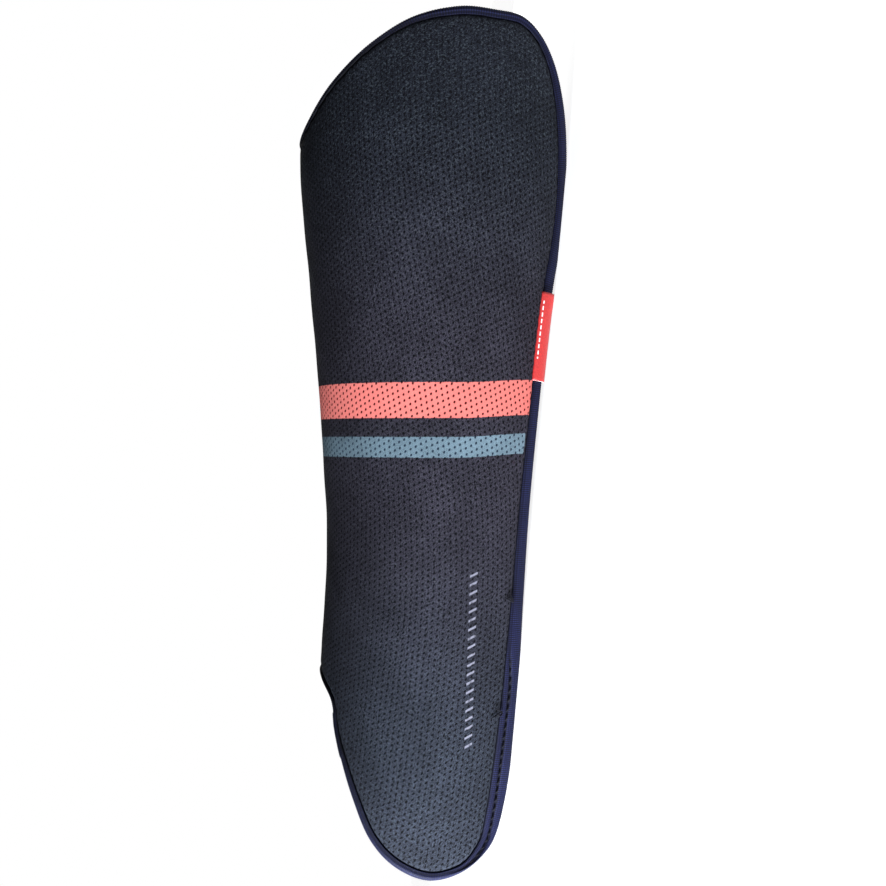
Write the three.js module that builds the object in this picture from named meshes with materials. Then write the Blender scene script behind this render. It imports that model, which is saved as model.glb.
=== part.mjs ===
// A hockey shin guard: a soft C-shaped shell for the shin, made of a knit mesh cover, a moulded foam pad,
// a tape folded over the whole rim, and a small flag label in the seam.
// Millimetres, +Z up. It lies hollow side down on its two long bound edges, with its front ridge along the
// top and its knee end towards +X. The origin is on the floor under the middle of its box.
import * as THREE from "three";

// Whole form
const overallLength = 305; // from the tips of the ankle lobes to the tops of the knee wings
const kneeDip = 40.4; // how far the ridge ends below the tops of the knee wings
const archRise = 62.5; // how far the front arch reaches up between the ankle lobes
const kneeRidgeHeight = 101.2; // of the ridge over the floor at the knee dip
const ankleRidgeHeight = 75.2; // of the ridge over the floor at the arch
const kneeWidth = 106; // across the shell at the knee dip
const ankleWidth = 79; // across the shell at the arch
const lobeFlare = 5; // how much wider the shell is at the tips of the lobes than at the arch
const edgeBow = 2.1; // how far the long edges lift off the floor between the places where they rest
const restPress = 1; // how far the tape is pressed flat where it rests

// Walls and clearances
const coverWall = 1.8;
const coverEdgeWall = 1;
const padWall = 7;
const padSeamWall = 2.1; // where it passes under the edge of the tape
const padEdgeWall = 1.2;
const tapeWall = 1;
const flangeWidth = 3.4; // of the tape on the face, round the knee edge, the lobes and the arch
const wideFlange = 8; // how much wider the tape's face gets along the long edges, at most
const foldSlack = 0.4; // between the rim of the shell and the bottom of the tape's fold
const foldRound = 1.4; // corner of the fold
const tapeTaper = 0.15; // how much thinner the tape is at its sewn edges
const clearance = 0.3; // between neighbouring pieces
const pillowWidth = 4.4; // of the band beside the tape over which the cover swells up from the seam
const labelLength = 31;
const labelWall = 0.6;
const labelPlace = 196.4; // from the lobe tips to the middle of the label
const labelEnd = 1.4; // how far its free end stops short of the outline
const labelGap = 0.2; // between the label and the tape that it lies on

// Columns of the section table: place along the length from the lobe tips, ridge height and width between
// their ankle value (0) and knee value (1), flare of the lobes, lift of the long edge, width of the tape's
// face between its narrow (0) and wide (1) value, and the turn in degrees from the ridge to the long edge.
const sections = [
  { at: 0, height: 0.05, width: 0, flare: 1, lift: 0.1, tape: 0.3, turn: 150 },
  { at: 0.12, height: 0, width: 0, flare: 0.5, lift: 0, tape: 0.95, turn: 150 },
  { at: 0.24, height: 0, width: 0, flare: 0.05, lift: 0.1, tape: 1, turn: 150 },
  { at: 0.34, height: 0.046, width: -0.02, flare: 0, lift: 0.55, tape: 0.8, turn: 151 },
  { at: 0.44, height: 0.165, width: 0.05, flare: 0, lift: 0.95, tape: 0.65, turn: 149 },
  { at: 0.55, height: 0.366, width: 0.27, flare: 0, lift: 1, tape: 0.55, turn: 148 },
  { at: 0.64, height: 0.565, width: 0.5, flare: 0, lift: 0.88, tape: 0.52, turn: 151 },
  { at: 0.7, height: 0.697, width: 0.68, flare: 0, lift: 0.62, tape: 0.5, turn: 153 },
  { at: 0.77, height: 0.846, width: 0.85, flare: 0, lift: 0, tape: 0.5, turn: 155.5 },
  { at: 0.86, height: 1, width: 0.98, flare: 0, lift: 0, tape: 0.42, turn: 157 },
  { at: 1, height: 1.2, width: 1.08, flare: 0, lift: 0.1, tape: 0.1, turn: 158 },
];
const widestShare = 0.445; // height of the widest line, as a share of the ridge's height
const tuckShare = 0.87; // radius of the tucked-in sides, as a share of the half width

// Outline from the ridge to the long edge, opened flat. around: share of the way from ridge to edge.
// rise: share of the knee dip over the ridge's end, or of the arch's rise over the lobe tips.
const kneeOutline = [
  { around: 0, rise: 0 },
  { around: 0.09, rise: 0.02 },
  { around: 0.167, rise: 0.11 },
  { around: 0.283, rise: 0.376 },
  { around: 0.4, rise: 0.665 },
  { around: 0.5, rise: 0.875 },
  { around: 0.6, rise: 0.98 },
  { around: 0.687, rise: 0.998 },
  { around: 0.76, rise: 1 },
  { around: 0.821, rise: 0.9 },
  { around: 0.88, rise: 0.71 },
  { around: 0.93, rise: 0.45 },
  { around: 0.97, rise: 0.14 },
  { around: 1, rise: -0.35 },
];
const ankleOutline = [
  { around: 1, rise: 0.75 },
  { around: 0.975, rise: 0.4 },
  { around: 0.935, rise: 0.205 },
  { around: 0.87, rise: 0.105 },
  { around: 0.78, rise: 0.03 },
  { around: 0.67, rise: 0 },
  { around: 0.55, rise: 0.065 },
  { around: 0.46, rise: 0.184 },
  { around: 0.38, rise: 0.376 },
  { around: 0.306, rise: 0.578 },
  { around: 0.255, rise: 0.745 },
  { around: 0.22, rise: 0.885 },
  { around: 0.125, rise: 0.965 },
  { around: 0, rise: 1 },
];
const edgeKnots = [0.75, 0.5, 0.25]; // points of the long edge between the two tables, as shares

// Mesh steps
const stepsAcross = 28;
const stepsAlong = 28;
const smoothingRounds = 10;

const tipX = -overallLength / 2;
const ridgeKneeX = overallLength / 2 - kneeDip;
const halfGirth = (kneeWidth + ankleWidth) * 0.65; // rough length from ridge to long edge, for even spacing

// Value of a column of the section table at x, on a smooth curve through its rows.
function column(name, x) {
  const at = THREE.MathUtils.clamp((x - tipX) / overallLength, 0, 1);
  let row = 0;
  while (row < sections.length - 2 && sections[row + 1].at < at) row++;
  const slope = (i) => {
    const low = Math.max(i - 1, 0);
    const high = Math.min(i + 1, sections.length - 1);
    return (sections[high][name] - sections[low][name]) / (sections[high].at - sections[low].at);
  };
  const span = sections[row + 1].at - sections[row].at;
  const t = (at - sections[row].at) / span;
  const a = sections[row][name];
  const b = sections[row + 1][name];
  const rest = 1 - t;
  return (
    a * rest * rest * (1 + 2 * t) +
    b * t * t * (3 - 2 * t) +
    span * (slope(row) * t * rest * rest - slope(row + 1) * t * t * rest)
  );
}

// Point of the shell's outer face. around runs from -1 at one long edge through 0 at the ridge to 1.
function facePoint(around, x) {
  const height = ankleRidgeHeight + (kneeRidgeHeight - ankleRidgeHeight) * column("height", x);
  const half =
    (ankleWidth + (kneeWidth - ankleWidth) * column("width", x) + lobeFlare * column("flare", x)) / 2;
  const turn = THREE.MathUtils.degToRad(column("turn", x));
  const lift = edgeBow * column("lift", x) - restPress;
  const angle = Math.abs(around) * turn;
  const side = Math.sign(around);
  const widest = height * widestShare;
  if (angle <= Math.PI / 2) {
    const y = half * Math.sin(angle);
    return new THREE.Vector3(x, side * y, widest + (height - widest) * Math.cos(angle));
  }
  const drop = (widest - lift) / -Math.cos(turn);
  const y = half - half * tuckShare * (1 - Math.sin(angle));
  return new THREE.Vector3(x, side * y, widest + drop * Math.cos(angle));
}

// Tangents and outward normal of the outer face.
function faceFrame(around, x) {
  const step = 1e-3;
  const byAround = facePoint(around + step, x)
    .sub(facePoint(around - step, x))
    .divideScalar(2 * step);
  const byX = facePoint(around, x + 1)
    .sub(facePoint(around, x - 1))
    .divideScalar(2);
  const normal = new THREE.Vector3().crossVectors(byX, byAround).normalize();
  return { byAround, byX, normal };
}

// The closed outline, opened flat as (around, x), in even steps from the knee end of the ridge.
function outlineLoop(count) {
  const half = kneeOutline.map((row) => [row.around, ridgeKneeX + kneeDip * row.rise]);
  const kneeEnd = half[half.length - 1][1];
  const ankle = ankleOutline.map((row) => [row.around, tipX + archRise * row.rise]);
  for (const share of edgeKnots) half.push([1, ankle[0][1] + (kneeEnd - ankle[0][1]) * share]);
  half.push(...ankle);
  const back = half
    .slice(1, -1)
    .reverse()
    .map(([around, x]) => [-around, x]);
  const points = [...half, ...back].map(([around, x]) => new THREE.Vector3(around * halfGirth, x, 0));
  const curve = new THREE.CatmullRomCurve3(points, true, "centripetal");
  curve.arcLengthDivisions = 2000;
  return curve
    .getSpacedPoints(count)
    .slice(0, count)
    .map((p) => ({ around: p.x / halfGirth, x: p.y }));
}

// Moves a place on the rim by a distance into the shell, along its face. The rim runs from before to after.
function inward(place, before, after, distance) {
  const { around, x } = place;
  const { byAround, byX, normal } = faceFrame(around, x);
  const run = facePoint(after.around, after.x).sub(facePoint(before.around, before.x));
  const into = new THREE.Vector3().crossVectors(normal, run).normalize();
  const aa = byAround.dot(byAround);
  const ab = byAround.dot(byX);
  const bb = byX.dot(byX);
  const a = into.dot(byAround);
  const b = into.dot(byX);
  const det = aa * bb - ab * ab;
  return {
    around: around + (distance * (a * bb - b * ab)) / det,
    x: x + (distance * (b * aa - a * ab)) / det,
  };
}

function inwardAt(loop, i, distance) {
  const next = loop[(i + 1) % loop.length];
  const last = loop[(i + loop.length - 1) % loop.length];
  return inward(loop[i], last, next, distance);
}

// Width of the tape's face at a place on the rim: it widens only along the long edges.
function flangeAt({ around, x }) {
  const nearEdge = THREE.MathUtils.smoothstep(Math.abs(around), 0.78, 0.97);
  return flangeWidth + wideFlange * column("tape", x) * nearEdge;
}

// A point at a depth under the outer face.
function underFace({ around, x }, depth) {
  return facePoint(around, x).addScaledVector(faceFrame(around, x).normal, -depth);
}

// A grid of points inside a closed loop, whose border is the loop itself.
function fillGrid(loop) {
  const start = loop.length - stepsAcross / 2;
  const border = (i) => loop[(start + i + loop.length) % loop.length];
  const top = (i) => border(i);
  const right = (j) => border(stepsAcross + j);
  const bottom = (i) => border(2 * stepsAcross + stepsAlong - i);
  const left = (j) => border(2 * (stepsAcross + stepsAlong) - j);
  const blend = (i, j, key) => {
    const u = i / stepsAcross;
    const v = j / stepsAlong;
    return (
      (1 - v) * top(i)[key] +
      v * bottom(i)[key] +
      (1 - u) * left(j)[key] +
      u * right(j)[key] -
      (1 - u) * (1 - v) * top(0)[key] -
      u * (1 - v) * top(stepsAcross)[key] -
      (1 - u) * v * bottom(0)[key] -
      u * v * bottom(stepsAcross)[key]
    );
  };
  let grid = [];
  for (let j = 0; j <= stepsAlong; j++) {
    grid.push([]);
    for (let i = 0; i <= stepsAcross; i++) {
      grid[j].push({ around: blend(i, j, "around"), x: blend(i, j, "x") });
    }
  }
  for (let round = 0; round < smoothingRounds; round++) {
    grid = grid.map((row, j) =>
      row.map((p, i) => {
        if (i === 0 || j === 0 || i === stepsAcross || j === stepsAlong) return p;
        const mean = (key) =>
          (grid[j - 1][i][key] + grid[j + 1][i][key] + row[i - 1][key] + row[i + 1][key]) / 4;
        return { around: (p.around + mean("around")) / 2, x: (p.x + mean("x")) / 2 };
      }),
    );
  }
  return grid;
}

const rimInset = tapeWall + foldSlack + clearance;
const loopCount = 2 * (stepsAcross + stepsAlong);
const outline = outlineLoop(loopCount);
const rimRing = outline.map((p, i) => inwardAt(outline, i, rimInset));
const seamRing = outline.map((p, i) => inwardAt(outline, i, flangeAt(p) + clearance));
const pillowRing = outline.map((p, i) => inwardAt(outline, i, flangeAt(p) + pillowWidth));
const grid = fillGrid(pillowRing);

// The pad swells from its wall at the seam to its full wall over the pillow ring and the next grid steps.
const padSwell = [0.6, 0.83, 0.95, 1];

// Depths of the cover's and the pad's faces under the outer face of the shell, at the rim, at the seam
// beside the tape, or on the grid, so many steps in from the pillow ring.
function depths(place, stepsIn = 0) {
  const onGrid = place === "grid";
  const coverTop = onGrid ? 0 : tapeWall + clearance;
  const coverUnder = coverTop + (onGrid ? coverWall : coverEdgeWall);
  const padTop = coverUnder + clearance;
  const swell = padSwell[Math.min(stepsIn, padSwell.length - 1)];
  const walls = {
    rim: padEdgeWall,
    seam: padSeamWall,
    grid: padSeamWall + (padWall - padSeamWall) * swell,
  };
  return { coverTop, coverUnder, padTop, padUnder: padTop + walls[place] };
}

// Faces of a solid in one list of vertices.
function solidMesh(name, vertices, faces, colour, roughness) {
  const geometry = new THREE.BufferGeometry();
  const numbers = vertices.flatMap((v) => [v.x, v.y, v.z]);
  geometry.setAttribute("position", new THREE.Float32BufferAttribute(numbers, 3));
  geometry.setIndex(faces.flat());
  geometry.computeVertexNormals();
  const material = new THREE.MeshStandardMaterial({ color: colour, roughness, metalness: 0 });
  const mesh = new THREE.Mesh(geometry, material);
  mesh.name = name;
  return mesh;
}

// A curved wall between two depths under the outer face, over the whole outline.
function shellWall(name, upper, lower, colour, roughness) {
  const gridSize = (stepsAcross + 1) * (stepsAlong + 1);
  const index = (kind, i, j) => {
    if (kind === "grid") return j * (stepsAcross + 1) + i;
    return gridSize + (kind === "seam" ? 0 : loopCount) + i;
  };
  const stepsIn = (i, j) => Math.min(i, j, stepsAcross - i, stepsAlong - j);
  const places = [
    ...grid.flatMap((row, j) => row.map((p, i) => ({ ...p, depth: depths("grid", stepsIn(i, j)) }))),
    ...seamRing.map((p) => ({ ...p, depth: depths("seam") })),
    ...rimRing.map((p) => ({ ...p, depth: depths("rim") })),
  ];
  const quads = [];
  for (let j = 0; j < stepsAlong; j++) {
    for (let i = 0; i < stepsAcross; i++) {
      const corner = index("grid", i, j);
      const below = index("grid", i, j + 1);
      quads.push([corner, corner + 1, below + 1, below]);
    }
  }
  const start = loopCount - stepsAcross / 2;
  const borderIndex = (k) => {
    if (k <= stepsAcross) return index("grid", k, 0);
    if (k <= stepsAcross + stepsAlong) return index("grid", stepsAcross, k - stepsAcross);
    if (k <= 2 * stepsAcross + stepsAlong) return index("grid", 2 * stepsAcross + stepsAlong - k, stepsAlong);
    return index("grid", 0, loopCount - k);
  };
  for (let k = 0; k < loopCount; k++) {
    const a = (start + k) % loopCount;
    const b = (a + 1) % loopCount;
    const inner = [borderIndex(k), borderIndex((k + 1) % loopCount)];
    quads.push([index("seam", a), index("seam", b), inner[1], inner[0]]);
    quads.push([index("rim", a), index("rim", b), index("seam", b), index("seam", a)]);
  }
  const vertices = [upper, lower].flatMap((side) => places.map((p) => underFace(p, p.depth[side])));
  const under = places.length;
  const faces = [];
  for (const [a, b, c, d] of quads) {
    faces.push([a, b, c], [a, c, d]);
    faces.push([a + under, c + under, b + under], [a + under, d + under, c + under]);
  }
  for (let k = 0; k < loopCount; k++) {
    const a = index("rim", k);
    const b = index("rim", (k + 1) % loopCount);
    faces.push([a, b + under, b], [a, a + under, b + under]);
  }
  return solidMesh(name, vertices, faces, colour, roughness);
}

const rimThickness = depths("rim").padUnder + 2 * clearance + tapeWall;
const seamThickness = depths("seam").padUnder + 2 * clearance + tapeWall;

// The tape's folded section: distance in from the outline, and depth under the outer face.
const tapeSection = (flange) => [
  { inset: flange, depth: tapeTaper },
  { inset: foldRound, depth: 0 },
  { inset: 0, depth: foldRound * 0.8 },
  { inset: 0, depth: rimThickness - foldRound },
  { inset: foldRound, depth: rimThickness },
  { inset: flange, depth: seamThickness - tapeTaper },
  { inset: flange, depth: seamThickness - tapeWall },
  { inset: rimInset - clearance, depth: rimThickness - tapeWall },
  { inset: rimInset - clearance, depth: tapeWall },
  { inset: flange, depth: tapeWall },
];

// Joins sections of equal size into a closed ring, or into a bar with two ends.
function sweep(name, rows, closed, colour, roughness) {
  const size = rows[0].length;
  const faces = [];
  for (let i = 0; i < rows.length - (closed ? 0 : 1); i++) {
    const next = ((i + 1) % rows.length) * size;
    for (let k = 0; k < size; k++) {
      const a = i * size + k;
      const b = i * size + ((k + 1) % size);
      const c = next + ((k + 1) % size);
      const d = next + k;
      faces.push([a, b, c], [a, c, d]);
    }
  }
  if (!closed) {
    const last = (rows.length - 1) * size;
    for (let k = 1; k < size / 2; k++) {
      const pair = [k - 1, k, size - k - 1, size - k];
      const [a, b, c, d] = pair;
      faces.push([a, c, b], [a, d, c]);
      faces.push([last + a, last + b, last + c], [last + a, last + c, last + d]);
    }
  }
  return solidMesh(name, rows.flat(), faces, colour, roughness);
}

function edgeBinding() {
  const rows = outline.map((place, i) =>
    tapeSection(flangeAt(place)).map(({ inset, depth }) => {
      const point = underFace(inwardAt(outline, i, inset), depth);
      point.z = Math.max(point.z, 0);
      return point;
    }),
  );
  return sweep("edge_binding", rows, true, 0x3d4162, 0.75);
}

// The flag label comes out of the seam and lies on the tape of the long edge on the -Y side.
function sideLabel() {
  const stations = 6;
  const step = labelLength / stations;
  const rows = [];
  for (let i = 0; i <= stations; i++) {
    const x = tipX + labelPlace + labelLength / 2 - i * step;
    const place = { around: -1, x };
    const flange = flangeAt(place);
    const top = labelGap + labelWall;
    const middle = (flange + labelEnd) / 2;
    const section = [
      [flange + 0.75, 0.7],
      [flange + 0.25, -labelGap * 0.6],
      [flange - 0.5, -labelGap],
      [middle, -labelGap],
      [labelEnd, -labelGap],
      [labelEnd, -top],
      [middle, -top],
      [flange - 0.5, -top],
      [flange + 0.5, -labelWall],
      [flange + 1, 0.3],
    ];
    rows.push(
      section.map(([inset, depth]) =>
        underFace(inward(place, { around: -1, x: x - step }, { around: -1, x: x + step }, inset), depth),
      ),
    );
  }
  return sweep("side_label", rows, false, 0xe8504f, 0.55);
}

const group = new THREE.Group();
group.add(shellWall("outer_cover", "coverTop", "coverUnder", 0x3a3b44, 0.85));
group.add(shellWall("foam_pad", "padTop", "padUnder", 0x23242a, 0.9));
group.add(edgeBinding());
group.add(sideLabel());

export default group;
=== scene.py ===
# A hockey shin guard lying hollow side down on a pale floor, seen from its left side.
# Its soft pieces are built on the same curved face as the solids, in millimetres, and scaled at the end.
import math

import bpy
import numpy as np
from mathutils import Matrix, Vector


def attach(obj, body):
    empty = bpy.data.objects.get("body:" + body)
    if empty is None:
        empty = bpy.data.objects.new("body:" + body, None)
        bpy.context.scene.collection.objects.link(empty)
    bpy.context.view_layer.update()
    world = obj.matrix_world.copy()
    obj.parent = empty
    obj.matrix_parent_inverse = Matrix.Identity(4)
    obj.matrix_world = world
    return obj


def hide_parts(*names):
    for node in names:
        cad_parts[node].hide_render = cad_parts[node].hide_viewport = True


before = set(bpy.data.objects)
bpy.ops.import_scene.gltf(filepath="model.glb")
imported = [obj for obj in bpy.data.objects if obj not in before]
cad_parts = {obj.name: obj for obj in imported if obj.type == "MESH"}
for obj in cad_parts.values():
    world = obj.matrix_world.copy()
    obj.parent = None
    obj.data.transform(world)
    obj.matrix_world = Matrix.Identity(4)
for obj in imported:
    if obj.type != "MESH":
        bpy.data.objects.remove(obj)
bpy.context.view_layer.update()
print("frame loaded:", ", ".join(sorted(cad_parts)))

metre = 0.001  # one millimetre in metres
seed = 7

shell = {  # the curved face that every piece follows
    "length": 305,
    "kneeDip": 40.4,  # the ridge ends this far below the knee wings
    "archRise": 62.5,  # the front arch reaches this far up
    "kneeRidgeHeight": 101.2,
    "ankleRidgeHeight": 75.2,
    "kneeWidth": 106,
    "ankleWidth": 79,
    "lobeFlare": 5,
    "edgeBow": 2.1,
    "restPress": 1,
    "widestShare": 0.445,
    "tuckShare": 0.87,
}
sectionNames = ("at", "height", "width", "flare", "lift", "tape", "turn")
sectionRows = np.array(
    [
        (0, 0.05, 0, 1, 0.1, 0.45, 150),
        (0.12, 0, 0, 0.5, 0, 0.85, 150),
        (0.24, 0, 0, 0.05, 0.1, 0.72, 150),
        (0.34, 0.046, -0.02, 0, 0.55, 0.52, 151),
        (0.44, 0.165, 0.05, 0, 0.95, 0.38, 149),
        (0.55, 0.366, 0.27, 0, 1, 0.29, 148),
        (0.64, 0.565, 0.5, 0, 0.88, 0.36, 151),
        (0.7, 0.697, 0.68, 0, 0.62, 0.42, 153),
        (0.77, 0.846, 0.85, 0, 0, 0.45, 155.5),
        (0.86, 1, 0.98, 0, 0, 0.42, 157),
        (1, 1.2, 1.08, 0, 0.1, 0.1, 158),
    ]
)
kneeOutline = [  # share of the way round from ridge to edge, and share of the knee dip
    (0, 0), (0.09, 0.02), (0.167, 0.11), (0.283, 0.376), (0.4, 0.665), (0.5, 0.875), (0.6, 0.98),
    (0.687, 0.998), (0.76, 1), (0.821, 0.9), (0.88, 0.71), (0.93, 0.45), (0.97, 0.14), (1, -0.35),
]
ankleOutline = [  # the same, and share of the arch's rise
    (1, 0.75), (0.975, 0.4), (0.935, 0.205), (0.87, 0.105), (0.78, 0.03), (0.67, 0), (0.55, 0.065),
    (0.46, 0.184), (0.38, 0.376), (0.306, 0.578), (0.255, 0.745), (0.22, 0.885), (0.125, 0.965), (0, 1),
]
tipX = -shell["length"] / 2
ridgeKneeX = shell["length"] / 2 - shell["kneeDip"]
halfGirth = (shell["kneeWidth"] + shell["ankleWidth"]) * 0.65

wall = {  # depths of the layers under the face
    "tape": 1,
    "cover": 1,
    "padRim": 1.2,
    "padSeam": 2.1,
    "padFull": 7,
    "clearance": 0.3,
    "foldSlack": 0.4,
    "flange": 3.4,  # width of the tape's face
    "wideFlange": 8,  # how much wider it gets along the long edges
    "ridgeTrim": 1.3,  # how much narrower it is over the ridge, at either end
    "pillow": 4.4,  # band beside the tape where the cover swells up
    "shoulder": 2.4,  # how squarely it swells
}
rimInset = wall["tape"] + wall["foldSlack"] + wall["clearance"]  # of the cover and the pad in the fold


def smoothStep(value, low, high):
    share = np.clip((value - low) / (high - low), 0, 1)
    return share * share * (3 - 2 * share)


def column(name, x):  # a column of the section rows at x, on a smooth curve through them
    places = sectionRows[:, 0]
    values = sectionRows[:, sectionNames.index(name)]
    low = np.maximum(np.arange(len(places)) - 1, 0)
    high = np.minimum(np.arange(len(places)) + 1, len(places) - 1)
    slopes = (values[high] - values[low]) / (places[high] - places[low])
    at = np.clip((np.asarray(x, float) - tipX) / shell["length"], 0, 1)
    row = np.clip(np.searchsorted(places, at) - 1, 0, len(places) - 2)
    span = places[row + 1] - places[row]
    t = (at - places[row]) / span
    rest = 1 - t
    ends = values[row] * rest * rest * (1 + 2 * t) + values[row + 1] * t * t * (3 - 2 * t)
    return ends + span * (slopes[row] * t * rest * rest - slopes[row + 1] * t * t * rest)


def facePoint(around, x):  # around runs from -1 at one long edge through 0 at the ridge to 1
    around, x = np.broadcast_arrays(np.asarray(around, float), np.asarray(x, float))
    height = column("height", x) * (shell["kneeRidgeHeight"] - shell["ankleRidgeHeight"])
    height = height + shell["ankleRidgeHeight"]
    half = shell["ankleWidth"] + (shell["kneeWidth"] - shell["ankleWidth"]) * column("width", x)
    half = (half + shell["lobeFlare"] * column("flare", x)) / 2
    turn = np.radians(column("turn", x))
    lift = shell["edgeBow"] * column("lift", x) - shell["restPress"]
    angle = np.abs(around) * turn
    widest = height * shell["widestShare"]
    over = angle <= math.pi / 2
    drop = np.where(over, height - widest, (widest - lift) / -np.cos(turn))
    tucked = half - half * shell["tuckShare"] * (1 - np.sin(angle))
    y = np.where(over, half * np.sin(angle), tucked)
    return np.stack([x, np.sign(around) * y, widest + drop * np.cos(angle)], -1)


def faceFrame(around, x):  # both tangents and the outward normal
    step = 1e-3
    byAround = (facePoint(around + step, x) - facePoint(around - step, x)) / (2 * step)
    byX = (facePoint(around, x + 1) - facePoint(around, x - 1)) / 2
    normal = np.cross(byX, byAround)
    return byAround, byX, normal / np.linalg.norm(normal, axis=-1, keepdims=True)


def underFace(place, depth):
    around, x = place[..., 0], place[..., 1]
    depth = np.broadcast_to(np.asarray(depth, float), around.shape)
    return facePoint(around, x) - faceFrame(around, x)[2] * depth[..., None]


def outlineLoop(count):  # the closed outline opened flat, in even steps from the knee end of the ridge
    half = [(a, ridgeKneeX + shell["kneeDip"] * rise) for a, rise in kneeOutline]
    ankle = [(a, tipX + shell["archRise"] * rise) for a, rise in ankleOutline]
    kneeEnd = half[-1][1]
    half += [(1, ankle[0][1] + (kneeEnd - ankle[0][1]) * share) for share in (0.75, 0.5, 0.25)]
    half += ankle
    knots = np.array(half + [(-a, x) for a, x in reversed(half[1:-1])])
    knots[:, 0] *= halfGirth
    pieces = []
    steps = np.linspace(0, 1, 200, endpoint=False)[:, None]
    for i in range(len(knots)):
        p0, p1, p2, p3 = (knots[(i + k) % len(knots)] for k in (-1, 0, 1, 2))
        d0, d1, d2 = (max(np.linalg.norm(b - a), 1e-9) ** 0.5 for a, b in ((p0, p1), (p1, p2), (p2, p3)))
        m1 = ((p1 - p0) / d0 - (p2 - p0) / (d0 + d1) + (p2 - p1) / d1) * d1
        m2 = ((p2 - p1) / d1 - (p3 - p1) / (d1 + d2) + (p3 - p2) / d2) * d1
        bend = (2 * p1 - 2 * p2 + m1 + m2) * steps**3
        pieces.append(p1 + m1 * steps + (3 * p2 - 3 * p1 - 2 * m1 - m2) * steps**2 + bend)
    line = np.concatenate(pieces + [knots[:1]])
    run = np.concatenate([[0], np.cumsum(np.linalg.norm(np.diff(line, axis=0), axis=1))])
    at = np.arange(count) * run[-1] / count
    return np.stack([np.interp(at, run, line[:, 0]) / halfGirth, np.interp(at, run, line[:, 1])], -1)


def inward(loop, distance, reach=1):  # moves every place of a rim into the shell, along the face
    around, x = loop[:, 0], loop[:, 1]
    byAround, byX, normal = faceFrame(around, x)
    points = facePoint(around, x)
    into = np.cross(normal, np.roll(points, -reach, 0) - np.roll(points, reach, 0))
    into /= np.linalg.norm(into, axis=1, keepdims=True)
    aa, ab, bb = (byAround**2).sum(1), (byAround * byX).sum(1), (byX**2).sum(1)
    a, b = (into * byAround).sum(1), (into * byX).sum(1)
    det = aa * bb - ab * ab
    return np.stack(
        [around + distance * (a * bb - b * ab) / det, x + distance * (b * aa - a * ab) / det], -1
    )


def flangeAt(loop):  # width of the tape's face, wider along the long edges and narrower over the ridge
    around, x = np.abs(loop[:, 0]), loop[:, 1]
    wider = wall["wideFlange"] * column("tape", x) * smoothStep(around, 0.78, 0.97)
    ankleRidge = smoothStep(0.34 - around, 0, 0.12) * smoothStep(-x, 0, 40)
    kneeRidge = smoothStep(0.62 - around, 0, 0.25) * smoothStep(x, 0, 40)
    return wall["flange"] + wider - wall["ridgeTrim"] * (ankleRidge + kneeRidge)


def shoulderSink(v):  # share of the way down to the seam, as v runs from the pillow's foot to the seam
    return 1 - (1 - v ** wall["shoulder"]) ** (1 / wall["shoulder"])


def pillowRing(loop, flange, v):
    return inward(loop, flange + wall["pillow"] - v * (wall["pillow"] - wall["clearance"]), 2)


def fillGrid(loop, steps, rounds):  # a square grid of places inside a closed loop of 4 * steps places
    start = len(loop) - steps // 2
    at = [np.take(loop, start + np.arange(steps + 1) + k * steps, 0, mode="wrap") for k in range(4)]
    top, right, bottom, left = at[0], at[1], at[2][::-1], at[3][::-1]
    u = np.linspace(0, 1, steps + 1)[None, :, None]
    v = np.linspace(0, 1, steps + 1)[:, None, None]
    grid = (1 - v) * top[None] + v * bottom[None] + (1 - u) * left[:, None] + u * right[:, None]
    grid = grid - (1 - u) * (1 - v) * top[0] - u * (1 - v) * top[-1]
    grid = grid - (1 - u) * v * bottom[0] - u * v * bottom[-1]
    grid = grid * (halfGirth, 1)
    for _ in range(rounds):  # an elliptic smoothing, so that no square folds over at the arch's corners
        across = (grid[1:-1, 2:] - grid[1:-1, :-2]) / 2
        down = (grid[2:, 1:-1] - grid[:-2, 1:-1]) / 2
        mixed = (grid[2:, 2:] - grid[2:, :-2] - grid[:-2, 2:] + grid[:-2, :-2]) / 4
        pairs = ((down, down), (across, down), (across, across))
        a, b, c = ((p * q).sum(-1, keepdims=True) for p, q in pairs)
        rowMean = grid[1:-1, 2:] + grid[1:-1, :-2]
        columnMean = grid[2:, 1:-1] + grid[:-2, 1:-1]
        moved = (a * rowMean + c * columnMean - 2 * b * mixed) / (2 * (a + c))
        grid[1:-1, 1:-1] = grid[1:-1, 1:-1] * 0.3 + moved * 0.7
    return grid / (halfGirth, 1)


def girthAt(around, x):  # distance round the face from the ridge, signed
    shares = np.linspace(0, 1, 33)
    line = facePoint(around[..., None] * shares, x[..., None])
    length = np.linalg.norm(np.diff(line, axis=-2), axis=-1).sum(-1)
    return np.sign(around) * length


def softWaves(points, wavelength, count, key):  # a smooth, seeded field of about -1 to 1
    draw = np.random.default_rng(seed + key)
    total = np.zeros(points.shape[:-1])
    for _ in range(count):
        direction = draw.normal(size=3)
        direction /= np.linalg.norm(direction)
        pitch = wavelength * draw.uniform(0.7, 1.5)
        total += np.sin(points @ direction * 2 * math.pi / pitch + draw.uniform(0, 2 * math.pi))
    return total / math.sqrt(count)


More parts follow.
